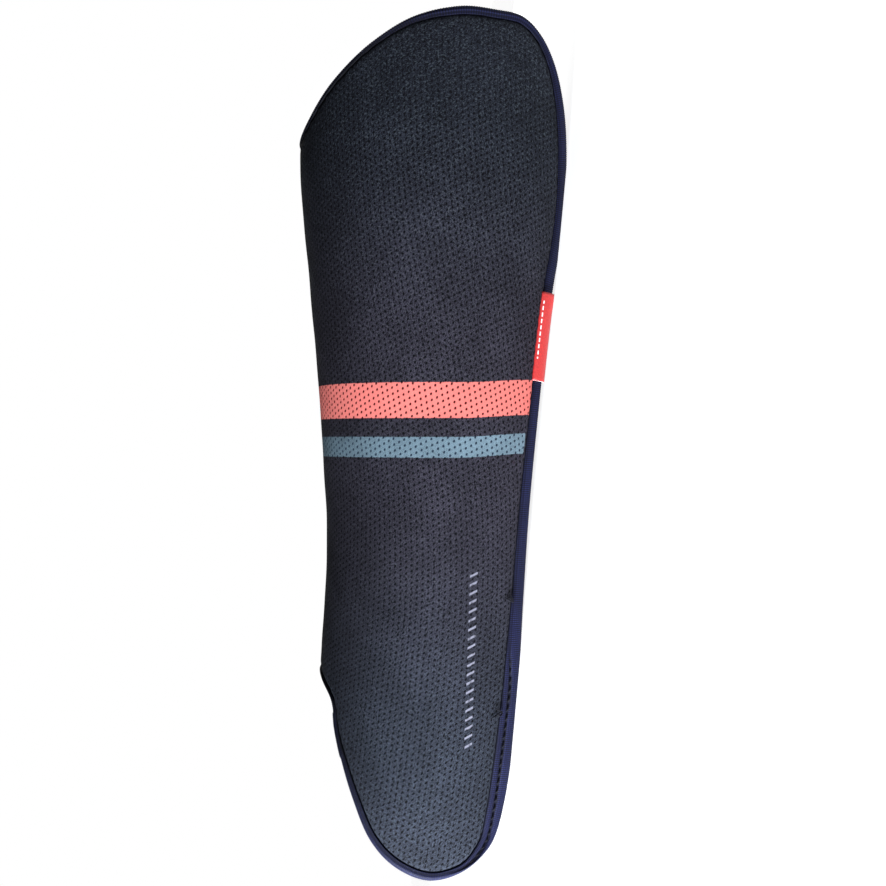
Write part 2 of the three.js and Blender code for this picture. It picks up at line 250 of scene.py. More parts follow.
def gridShell(steps, rings, ringPlaces, gridPlaces):
    # quads of a grid with rings of 4 * steps places round it; vertices are the grid's, then each ring's
    side = steps + 1
    size = side * side
    count = 4 * steps
    i, j = np.meshgrid(np.arange(steps), np.arange(steps))
    corner = (j * side + i).ravel()
    quads = [np.stack([corner, corner + 1, corner + side + 1, corner + side], -1)]
    k = np.arange(steps)
    border = np.concatenate(
        [k, k * side + steps, steps * side + steps - k, (steps - k) * side]
    )
    border = np.roll(border, -steps // 2)  # so that it starts at the ridge, as the loops do
    previous = border
    for ring in range(rings):
        current = size + ring * count + np.arange(count)
        quads.append(np.stack([current, np.roll(current, -1), np.roll(previous, -1), previous], -1))
        previous = current
    return np.concatenate(quads), np.concatenate([gridPlaces.reshape(-1, 2), ringPlaces.reshape(-1, 2)])


def makePiece(name, points, faces, material, attributes=None):
    mesh = bpy.data.meshes.new(name)
    mesh.from_pydata((np.asarray(points) * metre).tolist(), [], [list(map(int, f)) for f in faces])
    mesh.validate()
    for key, values in (attributes or {}).items():
        layer = mesh.attributes.new(key, "FLOAT_VECTOR", "POINT")
        layer.data.foreach_set("vector", np.asarray(values, np.float32).ravel())
    mesh.polygons.foreach_set("use_smooth", [True] * len(mesh.polygons))
    mesh.materials.append(material)
    mesh.update()
    piece = bpy.data.objects.new(name, mesh)
    bpy.context.scene.collection.objects.link(piece)
    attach(piece, "root")
    return piece


def distanceTo(points, targets):  # from each point to the nearest target
    parts = np.array_split(points, len(points) // 1000 + 1)
    return np.concatenate([np.linalg.norm(part[:, None] - targets[None], axis=2).min(1) for part in parts])


def rimRun(loop):  # distance along the outline at each of its places, and the whole way round
    points = facePoint(loop[:, 0], loop[:, 1])
    steps = np.linalg.norm(np.roll(points, -1, 0) - points, axis=1)
    return np.concatenate([[0], np.cumsum(steps[:-1])]), steps.sum()


class Wire:  # a node's output that can be used in sums
    def __init__(self, finish, socket):
        self.finish = finish
        self.socket = socket

    def join(self, operation, first, second):
        return self.finish.add("ShaderNodeMath", {"operation": operation}, {0: first, 1: second})

    def __add__(self, other):
        return self.join("ADD", self, other)

    def __radd__(self, other):
        return self.join("ADD", other, self)

    def __sub__(self, other):
        return self.join("SUBTRACT", self, other)

    def __rsub__(self, other):
        return self.join("SUBTRACT", other, self)

    def __mul__(self, other):
        return self.join("MULTIPLY", self, other)

    def __rmul__(self, other):
        return self.join("MULTIPLY", other, self)

    def __truediv__(self, other):
        return self.join("DIVIDE", self, other)

    def __rtruediv__(self, other):
        return self.join("DIVIDE", other, self)


class Finish:  # the nodes of a material, or of the surroundings
    def __init__(self, owner):
        self.owner = owner
        owner.use_nodes = True
        self.tree = owner.node_tree
        self.tree.nodes.clear()

    def add(self, kind, settings=None, sockets=None, out=0):
        node = self.tree.nodes.new(kind)
        for key, value in (settings or {}).items():
            setattr(node, key, value)
        for key, value in (sockets or {}).items():
            if isinstance(value, Wire):
                self.tree.links.new(value.socket, node.inputs[key])
            else:
                node.inputs[key].default_value = value
        return Wire(self, node.outputs[out]) if node.outputs else node

    def maths(self, operation, *values):
        return self.add("ShaderNodeMath", {"operation": operation}, dict(enumerate(values)))

    def ease(self, value, low, high, start=0.0, end=1.0):
        sockets = {"Value": value, "From Min": low, "From Max": high, "To Min": start, "To Max": end}
        return self.add("ShaderNodeMapRange", {"interpolation_type": "SMOOTHSTEP"}, sockets)

    def unsigned(self, value):
        return self.maths("ABSOLUTE", value)

    def wave(self, value, pitch):
        return self.maths("SINE", value * (2 * math.pi / pitch))

    def blend(self, share, first, second, kind="MIX"):
        first = (*first, 1) if isinstance(first, tuple) else first
        second = (*second, 1) if isinstance(second, tuple) else second
        return self.add(
            "ShaderNodeMix", {"data_type": "RGBA", "blend_type": kind}, {0: share, 6: first, 7: second}, 2
        )

    def colour(self, *parts):
        return self.add("ShaderNodeCombineColor", sockets=dict(enumerate(parts)))

    def split(self, spot):
        parts = self.add("ShaderNodeSeparateXYZ", sockets={0: spot})
        return [Wire(self, socket) for socket in parts.socket.node.outputs]

    def place(self, name):  # an attribute and its three numbers
        spot = self.add("ShaderNodeAttribute", {"attribute_name": name}, out=1)
        return spot, self.split(spot)

    def noise(self, spot, scale, detail=2.0, roughness=0.5):
        sockets = {"Vector": spot, "Scale": scale, "Detail": detail, "Roughness": roughness}
        return self.add("ShaderNodeTexNoise", {"noise_dimensions": "3D"}, sockets)

    def close(self, colour, roughness, height=None, depth=0.0002, strength=1.0, **fixed):
        sockets = {"Base Color": colour, "Roughness": roughness}
        if height is not None:
            sockets["Normal"] = self.add(
                "ShaderNodeBump", sockets={"Height": height, "Distance": depth, "Strength": strength}
            )
        for key, value in fixed.items():
            sockets[key.replace("_", " ")] = value
        surface = self.add("ShaderNodeBsdfPrincipled", sockets=sockets)
        self.add("ShaderNodeOutputMaterial", sockets={"Surface": surface})
        return self.owner


def finishOf(name, colour):
    material = bpy.data.materials.new(name)
    material.diffuse_color = (*colour, 1)
    return Finish(material)


def shade(colour, share):
    return tuple(c * share for c in colour)


# Knit mesh cover
cover = {
    "steps": 140,
    "rounds": 400,
    "waviness": 0.28,  # soft unevenness of the stretched mesh, mm
    "ripple": 0.12,
    "pucker": 0.14,  # where the seam's stitches pull it in, mm
    "seamSink": 0.75,  # how far it dips beside the tape, mm
    "stitchPitch": 3.4,
    "yarn": (0.0037, 0.0036, 0.0056),
    "yarnLight": (0.0330, 0.0313, 0.0450),
    "speck": (0.085, 0.087, 0.107),  # where a filament catches the light
    "holeColour": (0.0012, 0.0012, 0.0024),
    "speckShare": (0.2, 0.62),  # at the middle of the guard and at its knee end
    "ridgePaintedShade": 0.58,  # painted shade: the mesh is darker over the ridge
    "kneePaintedShade": 0.8,  # and painted shade towards the knee
    "patchTone": (0.86, 1.12),
    "sheenWarmth": (1.03, 0.82),  # share of red at the middle and at the ends, a painted sheen that is redder at the middle
    "rowPitch": 0.62,  # of the knitted rows, mm
    "holeColumn": 2.0,  # distance between columns of holes, mm
    "holePitch": 2.1,  # along a column
    "holeWidth": 0.37,
    "holeHeight": 0.52,
    "holeSlant": 0.35,
    "coral": (0.62, 0.158, 0.138),
    "coralHole": (0.05, 0.0022, 0.0035),
    "blue": (0.106, 0.160, 0.196),
    "blueHole": (0.012, 0.02, 0.035),
    "coralBand": (4.9, 17.4),  # along the guard, mm
    "blueBand": (-9.1, -1.8),
    "bandZero": (6, 36),  # X and Z that the bands are measured from
    "bandTurn": (0.9957, 0.0924),  # and their direction
    "dashColour": (0.19, 0.19, 0.24),
    "dashStart": (-42.0, 20.4),  # X and Z where the row of printed dashes begins
    "dashEnd": (-106.0, 16.7),
    "dashRow": 64.0,
    "dashPitch": 3.2,
    "dashReach": 1.35,  # half of a dash's length
}


def bandPlace(points):  # where a point lies along the printed bands' own direction, mm
    x, z = points[..., 0], points[..., 2]
    zero, turn = cover["bandZero"], cover["bandTurn"]
    along = turn[0] * (x - zero[0]) + turn[1] * (z - zero[1])
    return along - 1.4 * smoothStep(30 - z, 0, 26) - 0.15 * smoothStep(z, 40, 80)


def meshFinish():
    f = finishOf("knit_mesh", cover["yarn"])
    spot, (around, along, fromSeam) = f.place("cloth")
    bandAt, dashAt, dashAcross = f.place("print")[1]

    def holes(shiftColumn, shiftPitch):  # 0 in a hole's middle, over 1 outside
        wide = f.maths("FRACT", (around + shiftColumn) / (2 * cover["holeColumn"]))
        wide = (wide - 0.5) * (2 * cover["holeColumn"])
        tall = f.maths("FRACT", (along + shiftPitch) / cover["holePitch"])
        tall = (tall - 0.5) * cover["holePitch"]
        across = (wide + tall * cover["holeSlant"]) / cover["holeWidth"]
        down = tall / cover["holeHeight"]
        return f.maths("SQRT", across * across + down * down)

    near = f.maths("MINIMUM", holes(0, 0), holes(cover["holeColumn"], cover["holePitch"] / 2))
    ragged = f.noise(spot, 0.9, 2.0)
    hole = f.ease(near + (ragged - 0.5) * 0.35, 0.75, 1.1, 1, 0) * f.ease(along, 95.0, 150.0, 1.0, 0.6)
    chevron = f.maths("PINGPONG", around, 0.5) * 1.5
    rows = f.wave(along + chevron, cover["rowPitch"]) * 0.5 + 0.5
    slant = {0: around * 1.7 + along * 0.9, 1: along * 0.62 - around * 0.4, 2: fromSeam * 0.1}
    grain = f.noise(f.add("ShaderNodeCombineXYZ", sockets=slant), 1.7, 1.0, 0.5)
    patches = f.noise(spot, 0.045, 2.0)
    yarn = f.ease(rows * 0.3 + grain, 0.46, 0.82)
    base = f.blend(yarn, shade(cover["yarn"], 0.4), cover["yarnLight"])
    speck = f.ease(f.noise(spot, 1.5, 0.0), 0.6, 0.72) * f.ease(along, 0.0, 150.0, *cover["speckShare"])
    base = f.blend(speck, base, cover["speck"])
    tone = f.ease(patches, 0.3, 0.7, *cover["patchTone"])
    # painted shade: darker over the ridge and towards the knee, on top of the random patches
    tone = tone * f.ease(f.unsigned(around), 28.0, 66.0, cover["ridgePaintedShade"], 1.0)
    tone = tone * f.ease(along, 60.0, 150.0, 1.0, cover["kneePaintedShade"])
    # painted sheen: redder at the middle, less red towards both ends
    sheenRed = f.ease(f.unsigned(along - 5.0), 22.0, 118.0, *cover["sheenWarmth"])
    patchesShadeAndSheen = f.colour(tone * sheenRed, tone, tone)
    edge = (ragged - 0.5) * 0.5 + bandAt

    def band(name):
        low, high = cover[name]
        return f.ease(edge, low - 0.15, low + 0.15) * f.ease(edge, high - 0.15, high + 0.15, 1, 0)

    printed = f.ease(grain * 0.7 + rows * 0.3, 0.25, 0.75)
    coral = band("coralBand")
    blue = band("blueBand") * f.ease(fromSeam, 1.1, 1.5)
    slanted = f.maths("FRACT", (dashAt + dashAcross * 0.5) / cover["dashPitch"]) - 0.5
    dash = f.ease(f.unsigned(slanted), 0.09, 0.17, 1, 0)
    dash = dash * f.ease(f.unsigned(dashAcross), cover["dashReach"] - 0.1, cover["dashReach"] + 0.1, 1, 0)
    dash = dash * f.ease(dashAt, -0.2, 0.2) * f.ease(dashAt - cover["dashRow"], -0.2, 0.2, 1, 0)
    coralTone = f.blend(printed, shade(cover["coral"], 0.72), cover["coral"])
    blueTone = f.blend(printed, shade(cover["blue"], 0.62), shade(cover["blue"], 1.25))
    base = f.blend(1.0, f.blend(blue, base, blueTone), patchesShadeAndSheen, "MULTIPLY")
    base = f.blend(coral, base, coralTone)
    base = f.blend(dash * (0.6 + grain * 0.4), base, cover["dashColour"])
    dark = f.blend(coral, cover["holeColour"], cover["coralHole"])
    dark = f.blend(blue, dark, cover["blueHole"])
    base = f.blend(hole * (1.0 - dash * 0.6), base, dark)
    height = rows * 0.25 + grain * 0.5 - hole * 1.2
    return f.close(base, f.ease(grain, 0.3, 0.7, 0.72, 0.9), height, 0.00022, 0.8, Specular_IOR_Level=0.06)


def makeCover():
    steps = cover["steps"]
    loop = outlineLoop(4 * steps)
    flange = flangeAt(loop)
    rows = np.linspace(0, 1, 11)[1:]  # from the pillow's foot to the seam
    rings, depths, seams = [], [], []
    for v in rows:
        rings.append(pillowRing(loop, flange, v))
        depths.append(np.full(len(loop), shoulderSink(v) * cover["seamSink"]))
        seams.append(np.full(len(loop), (1 - v) * (wall["pillow"] - wall["clearance"])))
    hidden = [(flange + 0.08, -0.3)] + [(flange + (rimInset - flange) * share, -1.0) for share in (0.3, 1)]
    for inset, seam in hidden:  # under the tape
        rings.append(inward(loop, inset, 2))
        depths.append(np.full(len(loop), wall["tape"] + wall["clearance"]))
        seams.append(np.full(len(loop), seam))
    grid = fillGrid(inward(loop, flange + wall["pillow"], 2), steps, cover["rounds"])
    faces, places = gridShell(steps, len(rings), np.array(rings), grid)
    gridSize = (steps + 1) ** 2
    flat = facePoint(places[:, 0], places[:, 1])
    ringSet = facePoint(rings[0][:, 0], rings[0][:, 1])
    gap = distanceTo(flat[:gridSize], ringSet)
    seam = np.concatenate([gap + seams[0][0], *seams])
    depth = np.concatenate([np.zeros(gridSize), *depths])
    run, total = rimRun(loop)
    along = np.append(run[1:], total)
    stitches = np.cos(along * 2 * math.pi / cover["stitchPitch"])
    pull = np.concatenate([np.zeros(gridSize), np.tile(stitches, len(rings))])
    pull = pull * smoothStep(4.2 - seam, 0, 3) * (seam > 0)
    free = smoothStep(seam, 0, 14)
    depth = depth + cover["pucker"] * pull
    depth = depth - cover["waviness"] * free * softWaves(flat, 46, 7, 1)
    depth = depth - cover["ripple"] * free * softWaves(flat, 19, 7, 2)
    points = underFace(places, depth)
    cloth = np.stack([girthAt(places[:, 0], places[:, 1]), places[:, 1], seam], -1)
    first = np.array(cover["dashStart"])
    last = np.array(cover["dashEnd"])
    line = (last - first) / np.linalg.norm(last - first)
    away = points[:, [0, 2]] - first
    dashAt = np.where(points[:, 1] < 0, away @ line, -50)
    dashAcross = away @ np.array([-line[1], line[0]])
    marks = np.stack([bandPlace(points), dashAt, dashAcross], -1)
    attributes = {"cloth": cloth, "print": marks}
    piece = makePiece("mesh_cover", points, faces, meshFinish(), attributes)
    thick = piece.modifiers.new("thickness", "SOLIDIFY")
    thick.thickness = wall["cover"] * metre
    thick.offset = -1
    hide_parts("outer_cover")
    a, b, c, d = (points[faces[:, k]] for k in range(4))
    area = np.linalg.norm(np.cross(c - a, d - b), axis=1).sum() / 2


# Foam pad, whose inner face is a plain brushed lining
pad = {
    "steps": 84,
    "rounds": 250,
    "waviness": 0.3,
    "top": 2.1,  # depth of its outer face
    "seamSwell": 0.6,  # share of its full thickness at the seam
    "lining": (0.028, 0.029, 0.034),
    "liningLight": (0.06, 0.061, 0.07),
}


def padFinish():
    f = finishOf("lined_foam", pad["lining"])
    spot, parts = f.place("cloth")
    nap = f.noise(spot, 1.4, 4.0, 0.65)
    cloud = f.noise(spot, 0.06, 3.0, 0.5)
    ribs = f.wave(parts[0], 1.1) * 0.5 + 0.5
    tone = f.ease(nap * 0.6 + cloud * 0.4 + ribs * 0.12, 0.35, 0.78)
    base = f.blend(tone, pad["lining"], pad["liningLight"])
    return f.close(base, f.ease(nap, 0.3, 0.7, 0.86, 0.97), nap * 0.6 + ribs * 0.35, 0.00025, 0.7,
                   Specular_IOR_Level=0.2)


def makePad():
    steps = pad["steps"]
    loop = outlineLoop(4 * steps)
    flange = flangeAt(loop)
    top = wall["tape"] + wall["clearance"] * 2 + wall["cover"]
    rows = np.linspace(0, 1, 8)[1:]
    firstWall = wall["padSeam"] + (wall["padFull"] - wall["padSeam"]) * pad["seamSwell"]
    rings, walls, seams = [], [], []
    for v in rows:
        rings.append(pillowRing(loop, flange, v))
        walls.append(np.full(len(loop), firstWall + (wall["padSeam"] - firstWall) * shoulderSink(v)))
        seams.append(np.full(len(loop), (1 - v) * wall["pillow"]))
    rings.append(inward(loop, (flange + rimInset) / 2, 2))
    walls.append(np.full(len(loop), (wall["padSeam"] + wall["padRim"]) / 2))
    seams.append(np.full(len(loop), -1.0))
    rings.append(inward(loop, rimInset, 2))
    walls.append(np.full(len(loop), wall["padRim"]))
    seams.append(np.full(len(loop), -2.0))
    grid = fillGrid(inward(loop, flange + wall["pillow"], 2), steps, pad["rounds"])
    faces, places = gridShell(steps, len(rings), np.array(rings), grid)
    gridSize = (steps + 1) ** 2
    flat = facePoint(places[:, 0], places[:, 1])
    ringSet = facePoint(rings[0][:, 0], rings[0][:, 1])
    gap = distanceTo(flat[:gridSize], ringSet)
    swell = 1 - (1 - pad["seamSwell"]) * np.exp(-gap / 9)
    full = wall["padSeam"] + (wall["padFull"] - wall["padSeam"]) * swell
    thickness = np.concatenate([full, *walls])
    seam = np.concatenate([gap + wall["pillow"], *seams])
    free = smoothStep(seam, 2, 16)
    drop = smoothStep(wall["pillow"] - seam[gridSize:], 0, wall["pillow"])
    depthTop = np.full(len(places), pad["top"])
    depthTop[gridSize:] = np.minimum(top, pad["top"] + (top - pad["top"]) * drop)
    under = depthTop + thickness - pad["waviness"] * free * (softWaves(flat, 52, 6, 5) + 1)
    upper = underFace(places, depthTop)
    lower = underFace(places, under)
    count = len(places)
    rim = np.arange(count - 4 * steps, count)
    after = np.roll(rim, -1)
    rimFaces = np.stack([rim, rim + count, after + count, after], -1)
    faces = np.concatenate([faces, faces[:, ::-1] + count, rimFaces])
    cloth = np.stack([girthAt(places[:, 0], places[:, 1]), places[:, 1], seam], -1)
    piece = makePiece("lined_pad", np.concatenate([upper, lower]), faces, padFinish(),
                      {"cloth": np.concatenate([cloth, cloth])})
    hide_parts("foam_pad")
    print("foam pad:", len(faces), "quads")


# Ribbed binding tape, folded over the whole rim
tape = {
    "ribPitch": 0.8,
    "ribHeight": 0.16,
    "colour": (0.0026, 0.0031, 0.0145),
    # the colour of the painted highlight on the rib crests, mixed with the yarn's grain
    "light": (0.0140, 0.0165, 0.063),
    "stripWidth": 0.35,  # of the flat strip inside the stitches
    "wideStrip": 2.3,  # how much wider it gets towards the ankle
    "grooveDepth": 0.12,
    "deepGroove": 0.75,  # how much deeper the groove gets there
    "grooveHalf": 0.28,  # half of its width
    "wideGroove": 0.36,  # how much that grows there
    "archAt": 559.0,  # distance along the tape to the top of the arch
    "archReach": (30.0, 135.0),
    "archPaintedShade": 0.3,  # painted shade: the tape is darker within that reach of it
    "kneeReach": (450.0, 510.0),
    "kneePaintedShade": 0.2,  # and painted shade beyond this one, at the knee end
    "weavePitch": 0.95,
    "lapStart": -100.5,  # X on the arch where the tape's end laps over its start
    "lapEnd": -116.0,
    "lapRise": 0.2,
    "rollCrown": 0.3,  # how far the roll stands over the face
}
ribCount = int(round(1150 / tape["ribPitch"]))  # of about 1150 mm of tape


def stripAt(loop):  # width of the strip inside the stitches, then the groove's depth and half its width
    ankle = smoothStep(np.abs(loop[:, 0]), 0.72, 0.95) * smoothStep(-loop[:, 1], 64, 86)
    strip = tape["stripWidth"] + tape["wideStrip"] * ankle
    depth = tape["grooveDepth"] + tape["deepGroove"] * ankle
    return strip, depth, tape["grooveHalf"] + tape["wideGroove"] * ankle


def grooveGrowth(half):  # 0 where the groove is narrow, 1 where it is widest
    return (half - tape["grooveHalf"]) / tape["wideGroove"]


def tapeFinish():
    f = finishOf("ribbed_tape", tape["colour"])
    spot, (along, across, rib) = f.place("cloth")
    grain = f.noise(spot, 2.6, 2.0, 0.6)
    cloud = f.noise(spot, 0.08, 2.0)
    weave = f.wave(across, tape["weavePitch"]) * 0.5 + 0.5
    # painted highlight on the rib crests, with the weave and grain of the yarn
    lit = f.ease(rib * 0.5 + rib * weave * 0.35 + grain * 0.5, 0.3, 1.0)
    base = f.blend(lit, shade(tape["colour"], 0.42), tape["light"])
    fromArch = f.unsigned(along - tape["archAt"])
    # painted shade: darker near the arch and at the knee end
    paintedShade = f.ease(fromArch, *tape["archReach"], tape["archPaintedShade"], 1.0)
    paintedShade = paintedShade * f.ease(fromArch, *tape["kneeReach"], 1.0, tape["kneePaintedShade"])
    tone = f.ease(cloud, 0.3, 0.7, 0.85, 1.12) * paintedShade
    base = f.blend(1.0, base, f.colour(tone, tone, tone), "MULTIPLY")
    return f.close(base, f.ease(grain, 0.3, 0.7, 0.6, 0.8), grain, 0.00012, 0.6, Specular_IOR_Level=0.12)


# The folded tape's section, as inset, depth and share of the ribs, from its front edge to its back one
def tapeSection(flange, ridge, strip, groove, half):
    rimThick = wall["tape"] * 2 + wall["clearance"] * 4 + wall["cover"] + wall["padRim"]
    seamThick = rimThick + wall["padSeam"] - wall["padRim"]
    crown = tape["rollCrown"] * ridge
    smooth = 0.7 - 0.6 * grooveGrowth(half)  # fewer ribs and less painted crest highlight where the groove is deep, a painted shade that darkens it only there
    foldWidth = np.minimum(1.7, flange * 0.5)
    tight = np.clip(flange / wall["flange"], 0.4, 1)
    strip, half = strip * tight, half * tight
    outer = [
        (flange, 1.15, 0),
        (flange + 0.02, 0.62, 0.2),
        (flange - 0.22, 0.3, 0.7),
        (flange - strip * 0.5 - 0.1, 0.18, 0.9),
        (flange - strip, 0.34, 0.6),
        (flange - strip - half * 0.7, groove, smooth),
        (flange - strip - half * 1.3, groove, smooth),
        (flange - strip - half * 2, groove * 0.5, 0.5),
    ]
    start = flange - strip - half * 2 - 0.24 * tight
    for t in np.linspace(0, 1, 7):
        rise = (crown + 0.12) * math.sin(math.pi * (0.15 + 0.5 * t))
        outer.append((start + (foldWidth - start) * t, 0.12 - rise, 1))
    for turn in np.linspace(-75, 75, 7):
        swing = math.radians(turn)
        outer.append((foldWidth - foldWidth * math.cos(swing), rimThick / 2 * (1 + math.sin(swing)), 1))
    for t in (0, 0.33, 0.66):
        outer.append((foldWidth + (flange - 1 - foldWidth) * t, rimThick + (seamThick - rimThick) * t, 1))
    outer += [
        (flange - 0.9, seamThick - 0.35, 0.4),
        (flange - 0.45, seamThick, 0.9),
        (flange, seamThick - 0.35, 0.3),
    ]
    inner = [
        (flange - 0.1, seamThick - wall["tape"]),
        (wall["tape"] + wall["foldSlack"], rimThick - wall["tape"]),
        (wall["tape"], rimThick / 2),
        (wall["tape"] + wall["foldSlack"], wall["tape"]),
        (flange - 0.1, wall["tape"] + 0.1),
    ]
    return outer, inner


def makeTape():
    count = 2 * ribCount
    loop = outlineLoop(count)
    flange = flangeAt(loop)
    around, x = np.abs(loop[:, 0]), loop[:, 1]
    ridge = 0.1 + 0.3 * smoothStep(around, 0.1, 0.5) + 0.6 * smoothStep(around, 0.72, 0.92)
    outer, inner = tapeSection(flange, ridge, *stripAt(loop))
    insets, depths, shares = (
        np.array([np.broadcast_to(row[k], count) for row in outer]).astype(float) for k in range(3)
    )
    runInset = np.gradient(insets, axis=0)
    runDepth = np.gradient(depths, axis=0)
    length = np.maximum(np.hypot(runInset, runDepth), 1e-6)
    phase = np.where(np.arange(count) % 2 == 0, 0.5, -0.5)[None]
    ribLift = tape["ribHeight"] * shares * phase
    insets = insets - ribLift * runDepth / length
    depths = depths + ribLift * runInset / length
    onArch = smoothStep(0.4 - around, 0, 0.05) * (loop[:, 0] < 0) * (x < 0)
    lap = onArch * smoothStep(tape["lapStart"] - x, 0, 0.4) * smoothStep(x - tape["lapEnd"], 0, 1)
    insets = insets - lap * tape["lapRise"] * smoothStep(1.9 - insets, 0, 1)
    depths = depths - lap * tape["lapRise"] * smoothStep(1.5 - depths, 0, 1)
    insets = np.concatenate([insets, [np.broadcast_to(i, count) for i, _ in inner]])
    depths = np.concatenate([depths, [np.broadcast_to(d, count) for _, d in inner]])
    size = len(insets)
    rowsOut, marks = [], []
    along = rimRun(loop)[0]
    for k in range(size):
        row = underFace(inward(loop, insets[k], 6), depths[k])
        row[:, 2] = np.maximum(row[:, 2], 0)
        rowsOut.append(row)
        rib = phase[0] + 0.5 if k < len(outer) else np.zeros(count)
        flat = shares[k] if k < len(outer) else 0
        marks.append(np.stack([along, insets[k], rib * flat], -1))
    vertices = np.stack(rowsOut, 1).reshape(-1, 3)  # sample by sample
    marks = np.stack(marks, 1).reshape(-1, 3)
    i, k = np.meshgrid(np.arange(count), np.arange(size), indexing="ij")
    a = i * size + k
    b = i * size + (k + 1) % size
    c = (i + 1) % count * size + (k + 1) % size
    d = (i + 1) % count * size + k
    faces = np.stack([a, b, c, d], -1).reshape(-1, 4)
    piece = makePiece("binding_tape", vertices, faces, tapeFinish(), {"cloth": marks})
    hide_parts("edge_binding")
    print("binding tape:", len(faces), "quads, length", round(along[-1]), "mm")


def tubes(lines, radius, sides=6, ends=0.25):  # thin round threads along lines of points
    points, faces = [], []
    for line in lines:
        line = np.asarray(line, float)
        run = np.gradient(line, axis=0)
        run /= np.linalg.norm(run, axis=1, keepdims=True)
        side = np.cross(run, [0.3, 0.5, 0.81])
        side /= np.linalg.norm(side, axis=1, keepdims=True)
        other = np.cross(run, side)
        taper = np.sin(np.linspace(0, math.pi, len(line))) ** 0.5 * (1 - ends) + ends
        start = len(points)
        for place, a, b, share in zip(line, side, other, taper):
            for k in range(sides):
                turn = 2 * math.pi * k / sides
                points.append(place + (a * math.cos(turn) + b * math.sin(turn)) * radius * share)
        for r in range(len(line) - 1):
            for k in range(sides):
                a, b = start + r * sides + k, start + r * sides + (k + 1) % sides
                faces.append([a, a + sides, b + sides, b])
        faces.append([start + k for k in range(sides)])
        faces.append([start + (len(line) - 1) * sides + sides - 1 - k for k in range(sides)])
    return np.array(points), faces


# Dark sewing thread in the tape's groove, with two loose ends
thread = {
    "pitch": 3.4,
    "length": 2.5,
    "radius": 0.3,
    "hair": 0.25,  # radius of a loose end
    "colour": (0.0025, 0.0025, 0.004),
    "looseAt": (-53.0, -93.5),  # X of the loose ends on the near side
}


def threadFinish():
    f = finishOf("sewing_thread", thread["colour"])
    spot = f.add("ShaderNodeTexCoord", out=3)
    twist = f.noise(spot, 2400.0, 2.0)
    base = f.blend(twist, thread["colour"], shade(thread["colour"], 3))
    return f.close(base, f.ease(twist, 0.3, 0.7, 0.7, 0.9), twist, 0.00008, 0.5, Specular_IOR_Level=0.1)


def makeThread():
    count = 2 * ribCount
    loop = outlineLoop(count)
    flange = flangeAt(loop)
    strip, depth, half = stripAt(loop)
    along, total = rimRun(loop)
    middle = flange - strip - half
    lie = 0.85 - 0.73 * grooveGrowth(half)  # sunk under the tape where the groove is narrow
    sides = [underFace(inward(loop, middle + shift * (half - 0.2), 6), lie) for shift in (1, -1)]
    deep = underFace(inward(loop, middle, 6), depth + 0.1)
    lines = []
    number = int(total / thread["pitch"])
    slant = np.linspace(0, 1, 6)[:, None]
    inside = np.sin(slant * math.pi) ** 0.5

    def rowAt(row, at):
        return np.stack([np.interp(at, along, row[:, k], period=total) for k in range(3)], -1)

    for n in range(number):
        at = n * total / number + np.linspace(0, thread["length"], 6)
        low, left, right = (rowAt(row, at) for row in (deep, *sides))
        high = left + (right - left) * slant
        lines.append(low + (high - low) * inside)
    draw = np.random.default_rng(seed + 40)
    loose = []
    near = np.flatnonzero(loop[:, 0] < -0.9)
    shares = np.linspace(0, 1, 7)
    for x in thread["looseAt"]:  # each end lies on the mesh in a loose curve
        start = near[np.abs(loop[near, 1] - x).argmin()]
        for strand in range(4):
            reach, lean, bow = draw.uniform(3, 6), draw.uniform(-4, 4), draw.uniform(-1.5, 1.5)
            line = []
            for share in shares:
                over = -0.3 - 0.5 * math.sin(math.pi * share)
                row = underFace(inward(loop, flange - 0.3 + reach * share, 6), np.full(count, over))
                aside = (lean * share**1.5 + bow * math.sin(math.pi * share)) * count / total
                line.append(row[(start + int(round(aside))) % count])
            loose.append(line)
    vertices, faces = tubes(lines, thread["radius"])
    hairs, hairFaces = tubes(loose, thread["hair"])
    faces += [[k + len(vertices) for k in face] for face in hairFaces]
    vertices = np.concatenate([vertices, hairs])
    makePiece("seam_thread", vertices, faces, threadFinish())
    print("seam thread:", len(lines), "stitches,", len(loose), "loose ends")


# Folded red flag label in the seam
label = {
    "length": 32.0,
    "middle": 43.6,  # X of its middle
    "thickness": 0.3,
    "top": -0.85,  # depth of the folded strip's middle, so it lies over the tape
    "standOff": 0.9,  # how far its knee-end corner stands off the tape
    "weavePitch": 0.34,
    "dashPitch": 2.3,
    "dashRow": (3.0, 24.0),  # along the label
    "dashAcross": 1.3,
    "colour": (0.55, 0.030, 0.027),
    "deep": (0.34, 0.011, 0.012),
    "pale": (0.85, 0.80, 0.80),
}


def labelFinish():
    f = finishOf("woven_label", label["colour"])
    spot, (along, across, side) = f.place("cloth")
    weave = f.wave(along, label["weavePitch"]) * f.wave(across, label["weavePitch"])
    grain = f.noise(spot, 1.6, 2.0)
    tone = f.ease(weave * 0.2 + grain, 0.25, 0.85)
    base = f.blend(tone, label["deep"], label["colour"])
    first, last = label["dashRow"]
    dash = f.ease(f.unsigned(f.maths("FRACT", along / label["dashPitch"]) - 0.5), 0.28, 0.34, 1, 0)
    dash = dash * f.ease(f.unsigned(across - label["dashAcross"]), 0.14, 0.26, 1, 0)
    dash = dash * f.ease(along, first, first + 0.2) * f.ease(along, last, last + 0.2, 1, 0)
    base = f.blend(dash, base, label["pale"])
    base = f.blend(f.ease(side, 0.4, 0.6), base, label["pale"])
    return f.close(base, f.ease(grain, 0.3, 0.7, 0.38, 0.52), weave * 0.5 + grain * 0.3, 0.00006, 0.5,
                   Specular_IOR_Level=0.5)


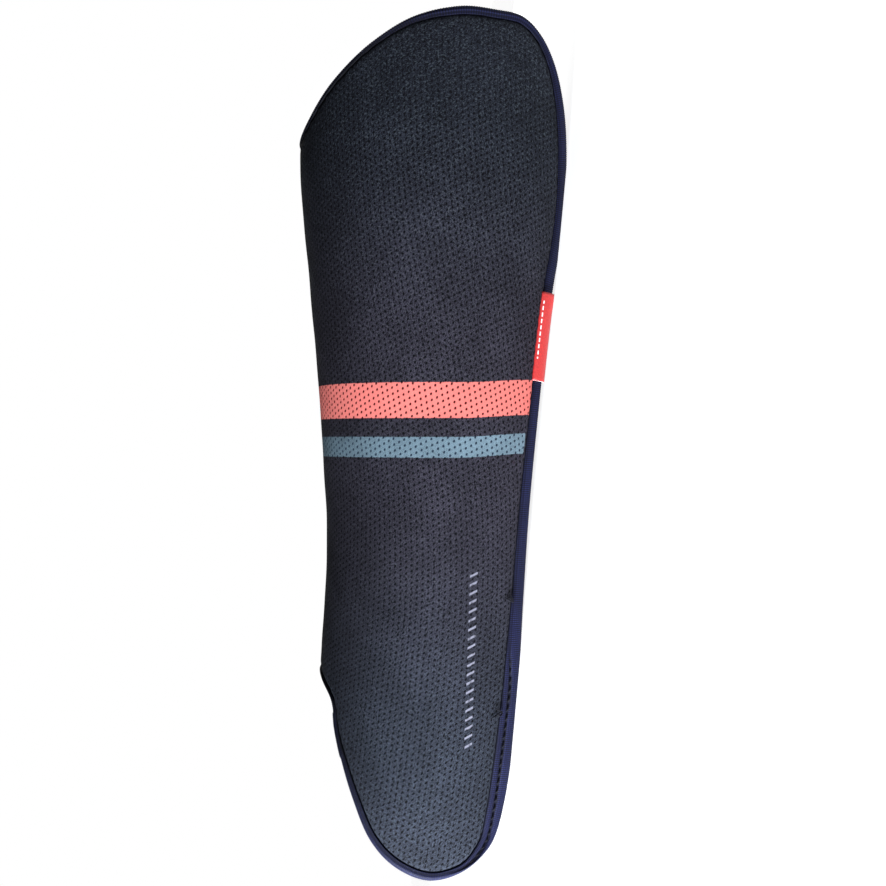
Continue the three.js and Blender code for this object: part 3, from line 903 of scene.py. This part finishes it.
def moveIn(rim, ahead, behind, distance):  # as inward, for a stretch of the rim that isn't a loop
    byAround, byX, normal = faceFrame(rim[:, 0], rim[:, 1])
    into = np.cross(normal, facePoint(behind[:, 0], behind[:, 1]) - facePoint(ahead[:, 0], ahead[:, 1]))
    into /= np.linalg.norm(into, axis=1, keepdims=True)
    aa, ab, bb = (byAround**2).sum(1), (byAround * byX).sum(1), (byX**2).sum(1)
    a, b = (into * byAround).sum(1), (into * byX).sum(1)
    det = aa * bb - ab * ab
    shift = [distance * (a * bb - b * ab) / det, distance * (b * aa - a * ab) / det]
    return rim + np.stack(shift, -1)


def outerRing(rings):  # which of the two skins is the outside of the fold: the one that reaches less deep
    return 0 if rings[0][1].min() < rings[1][1].min() else 1


def makeLabel():
    stations = 41
    x = label["middle"] + np.linspace(0.5, -0.5, stations) * label["length"]
    share = np.linspace(0, 1, stations)
    rim = np.stack([np.full(stations, -1.0), x], -1)
    flange = flangeAt(rim)
    rise = label["standOff"] * smoothStep(0.22 - share, 0, 0.22)
    top = label["top"]
    path = [  # inset and depth of the folded strip's middle, from the seam over the top to the seam
        (flange + 1.0, 0.5),
        (flange + 0.75, -0.05),
        (flange + 0.35, -0.5),
        (flange - 0.3, top + 0.02),
    ]
    for t in np.linspace(0.1, 0.92, 8):
        path.append((flange + (1.2 - flange) * t, top - 0.45 * math.sin(math.pi * t) - rise * t * t))
    for inset, depth in ((0.95, top + 0.12), (0.75, -0.5), (1.05, -0.22)):
        path.append((inset - rise * 0.4, depth - rise))
    for t in (0.75, 0.5, 0.25):
        path.append((flange + (1.2 - flange) * t, -0.24 - 0.1 * math.sin(math.pi * t) - rise * t * t))
    path += [(flange - 0.1, -0.12), (flange + 0.4, 0.35)]
    insets = np.array([np.broadcast_to(i, stations) for i, _ in path])
    depths = np.array([np.broadcast_to(d, stations) for _, d in path])
    runInset, runDepth = np.gradient(insets, axis=0), np.gradient(depths, axis=0)
    length = np.hypot(runInset, runDepth)
    half = label["thickness"] / 2
    rings = []
    for sign in (1, -1):
        rings.append((insets - sign * half * runDepth / length, depths + sign * half * runInset / length))
    allInsets = np.concatenate([rings[0][0], rings[1][0][::-1]])
    allDepths = np.concatenate([rings[0][1], rings[1][1][::-1]])
    size = len(allInsets)
    across = np.concatenate([[0], np.cumsum(np.hypot(np.diff(insets[:, 0]), np.diff(depths[:, 0])))])
    rows, marks = [], []
    ahead = np.stack([np.full(stations, -1.0), x - 1], -1)
    behind = np.stack([np.full(stations, -1.0), x + 1], -1)
    for k in range(size):
        spots = moveIn(rim, ahead, behind, allInsets[k])
        row = underFace(spots, allDepths[k])
        row[:, 2] = np.maximum(row[:, 2], 0.25)
        rows.append(row)
        mark = across[k] if k < len(path) else across[size - 1 - k]
        marks.append(np.stack([share * label["length"], np.full(stations, mark), np.zeros(stations)], -1))
    points = np.stack(rows, 1).reshape(-1, 3)
    marks = np.stack(marks, 1)
    outward = outerRing(rings)
    marks[:, : len(path), 2] = 0 if outward == 0 else 1
    marks[:, len(path) :, 2] = 1 if outward == 0 else 0
    marks = marks.reshape(-1, 3)
    faces = []
    for i in range(stations - 1):
        for k in range(size):
            n = (k + 1) % size
            faces.append([i * size + k, i * size + n, (i + 1) * size + n, (i + 1) * size + k])
    for i in (0, stations - 1):
        for k in range(len(path) - 1):
            cap = [i * size + k, i * size + k + 1, i * size + size - 2 - k, i * size + size - 1 - k]
            faces.append(cap if i else cap[::-1])
    piece = makePiece("flag_label", points, faces, labelFinish(), {"cloth": marks})
    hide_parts("side_label")
    print("flag label:", len(faces), "faces")


# Floor, light and camera
studio = {
    "floor": (0.9, 0.9, 0.905),
    "glow": 0.8,  # of the floor, as on a light table
    "horizon": 1.0,  # brightness of the surroundings behind the guard
    "front": 0.18,  # and on the camera's side
    "zenith": 0.05,
    "backSpread": (0.3, 0.84),  # direction along Y over which front turns to horizon
    "skySpread": (0.4, 0.62),  # and along Z over which both turn to zenith
    "floorReach": 4.0,
    "lamps": {  # place, aim, size, power and colour
        "key": ((-0.40, -0.22, 0.03), (-0.06, -0.02, 0.03), (0.2, 0.05), 8.5, (0.88, 0.94, 1)),
        "back": ((0.1, 0.9, 0.12), (0, 0.1, 0.04), (0.9, 0.2), 4.0, (1, 1, 1)),
    },
}


def lamp(name, place, aim, size, power, colour):
    data = bpy.data.lights.new(name, "AREA")
    data.shape = "RECTANGLE"
    data.size, data.size_y = size
    data.energy = power
    data.color = colour
    lampObject = bpy.data.objects.new(name, data)
    bpy.context.scene.collection.objects.link(lampObject)
    lampObject.location = place
    lampObject.rotation_euler = (Vector(aim) - Vector(place)).to_track_quat("-Z", "Y").to_euler()


def makeStudio():
    f = finishOf("floor", studio["floor"])
    spot = f.add("ShaderNodeTexCoord", out=3)
    cloud = f.noise(spot, 1.5, 2.0)
    base = f.blend(cloud, studio["floor"], shade(studio["floor"], 1.03))
    glow = {"Emission_Color": (1, 1, 1, 1), "Emission_Strength": studio["glow"]}
    material = f.close(base, 0.9, Specular_IOR_Level=0.1, **glow)
    mesh = bpy.data.meshes.new("floor")
    far = studio["floorReach"]
    mesh.from_pydata([(-far, -far, 0), (far, -far, 0), (far, far, 0), (-far, far, 0)], [], [(0, 1, 2, 3)])
    mesh.materials.append(material)
    floor = bpy.data.objects.new("floor", mesh)
    floor.location.z = -0.0001
    bpy.context.scene.collection.objects.link(floor)
    world = bpy.data.worlds.new("studio")
    f = Finish(world)
    toward = f.split(f.add("ShaderNodeTexCoord"))
    level = f.ease(toward[1], *studio["backSpread"], studio["front"], studio["horizon"])
    strength = f.ease(toward[2], *studio["skySpread"], level, studio["zenith"])
    backdrop = f.add("ShaderNodeBackground", sockets={"Color": (1, 1, 1, 1), "Strength": strength})
    f.add("ShaderNodeOutputWorld", sockets={"Surface": backdrop})
    bpy.context.scene.world = world
    for name, values in studio["lamps"].items():
        lamp(name, *values)


camera = {
    "place": (0.0021, -0.425, 0.0356),
    "sensor": 36,
    "focal": 44.28894,
    "right": (0.0924, 0, -0.9957),
    "up": (0.9957, 0, 0.0924),
}


def makeCamera():
    data = bpy.data.cameras.new("camera")
    data.sensor_width = camera["sensor"]
    data.lens = camera["focal"]
    data.clip_start = 0.01
    data.clip_end = 50
    eye = bpy.data.objects.new("camera", data)
    right, up = Vector(camera["right"]).normalized(), Vector(camera["up"]).normalized()
    back = right.cross(up)
    turn = Matrix((right, up, back)).transposed().to_4x4()
    eye.matrix_world = Matrix.Translation(camera["place"]) @ turn
    bpy.context.scene.collection.objects.link(eye)
    bpy.context.scene.camera = eye


makeCamera()
makeStudio()
bpy.context.scene.view_settings.view_transform = "Standard"
bpy.context.scene.view_settings.look = "None"
print("camera and studio made")
makeCover()
makePad()
makeTape()
makeThread()
makeLabel()

bpy.context.view_layer.update()
